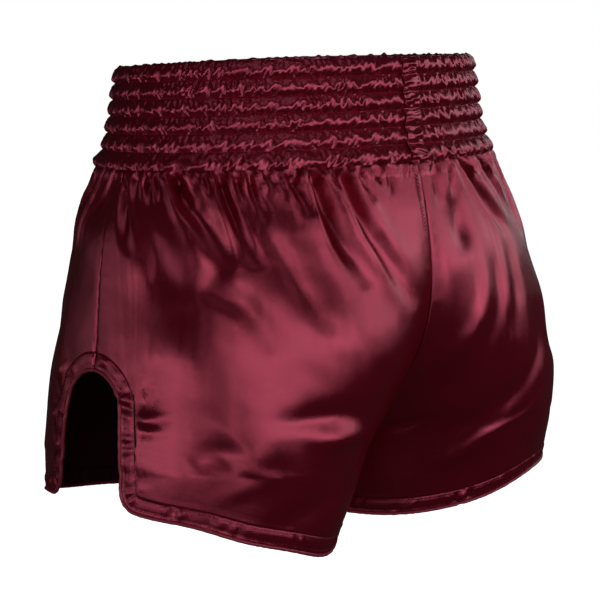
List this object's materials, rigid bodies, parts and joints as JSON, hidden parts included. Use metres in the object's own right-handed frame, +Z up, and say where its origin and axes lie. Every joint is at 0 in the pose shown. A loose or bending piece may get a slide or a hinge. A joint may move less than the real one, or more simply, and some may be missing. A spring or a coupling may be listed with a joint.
{
  "type": "boxing shorts",
  "caption": "Satin boxing shorts in their worn shape, with a wide ruched elastic waistband, rounded side vents and piped hems.",
  "frame": {"origin": "centre of the waist opening, level with the waistband's top edge", "axes": "+X towards the wearer's left, +Y towards the wearer's back, +Z up out of the waist opening"},
  "size_m": [0.41, 0.2627, 0.3368],
  "materials": {
    "satin": "glossy satin weave",
    "piping": "satin bias binding",
    "seam_tape": "overlocked seam allowance",
    "elastic_knit": "ribbed knitted elastic",
    "label_cloth": "woven label, blank"
  },
  "bodies": {
    "back": {"back_waistband_casing": "satin", "left_back_panel": "satin", "right_back_panel": "satin", "left_back_hem_band": "satin", "right_back_hem_band": "satin", "left_back_piping": "piping", "right_back_piping": "piping", "waist_elastic_1": "elastic_knit", "waist_elastic_2": "elastic_knit", "waist_elastic_3": "elastic_knit", "waist_elastic_4": "elastic_knit", "waist_elastic_5": "elastic_knit", "waist_elastic_6": "elastic_knit", "back_join_strip": "satin", "care_label": "label_cloth", "centre_back_seam_tape": "seam_tape", "left_side_seam_tape": "seam_tape", "right_side_seam_tape": "seam_tape", "left_inseam_tape": "seam_tape", "right_inseam_tape": "seam_tape"},
    "front": {"front_waistband_casing": "satin", "left_front_panel": "satin", "right_front_panel": "satin", "left_front_hem_band": "satin", "right_front_hem_band": "satin", "left_front_piping": "piping", "right_front_piping": "piping", "centre_front_seam_tape": "seam_tape"}
  },
  "joints": [
    {"name": "waist_stretch", "type": "slide", "parent": "back", "child": "front", "axis": [0, -1, 0], "range_m": [0, 0.045], "stiffness_N_per_m": 400, "deforming": ["waist_elastic_1", "waist_elastic_2", "waist_elastic_3", "waist_elastic_4", "waist_elastic_5", "waist_elastic_6"]}
  ]
}
